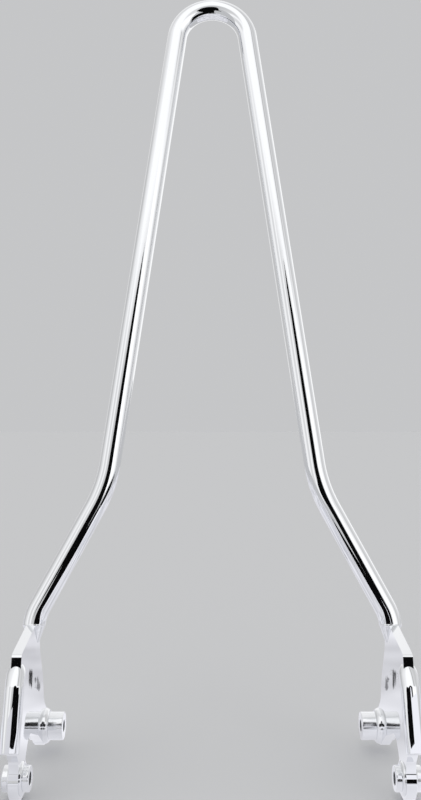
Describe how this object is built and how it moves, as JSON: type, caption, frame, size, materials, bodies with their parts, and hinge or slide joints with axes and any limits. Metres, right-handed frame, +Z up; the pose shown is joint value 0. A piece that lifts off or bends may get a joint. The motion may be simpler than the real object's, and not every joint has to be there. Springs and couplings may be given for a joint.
{
  "type": "sissy bar",
  "caption": "Tall narrow round-rod back hoop for a motorcycle, kinked outward to a thick side plate at each foot, with round bushings for bolts through the fender.",
  "frame": {"origin": "middle of the part between its two side plates and between its front and back, at the level of its lowest point", "axes": "+Z up, the rider faces -Y, +X to the rider's left; the hoop leans back toward +Y"},
  "size_m": [0.3304, 0.2354, 0.7194],
  "materials": {
    "chrome": "polished",
    "weld_chrome": "polished"
  },
  "bodies": {
    "root": {"hoop": "chrome", "left_side_plate": "chrome", "right_side_plate": "chrome", "left_front_bar": "chrome", "right_front_bar": "chrome", "left_front_bushing": "chrome", "right_front_bushing": "chrome", "left_rear_bushing": "chrome", "right_rear_bushing": "chrome", "left_hoop_weld": "weld_chrome", "right_hoop_weld": "weld_chrome", "left_front_bar_weld": "weld_chrome", "right_front_bar_weld": "weld_chrome", "left_front_bushing_inner_weld": "weld_chrome", "right_front_bushing_inner_weld": "weld_chrome", "left_front_bushing_outer_weld": "weld_chrome", "right_front_bushing_outer_weld": "weld_chrome", "left_rear_bushing_inner_weld": "weld_chrome", "right_rear_bushing_inner_weld": "weld_chrome", "left_rear_bushing_outer_weld": "weld_chrome", "right_rear_bushing_outer_weld": "weld_chrome"}
  },
  "joints": []
}
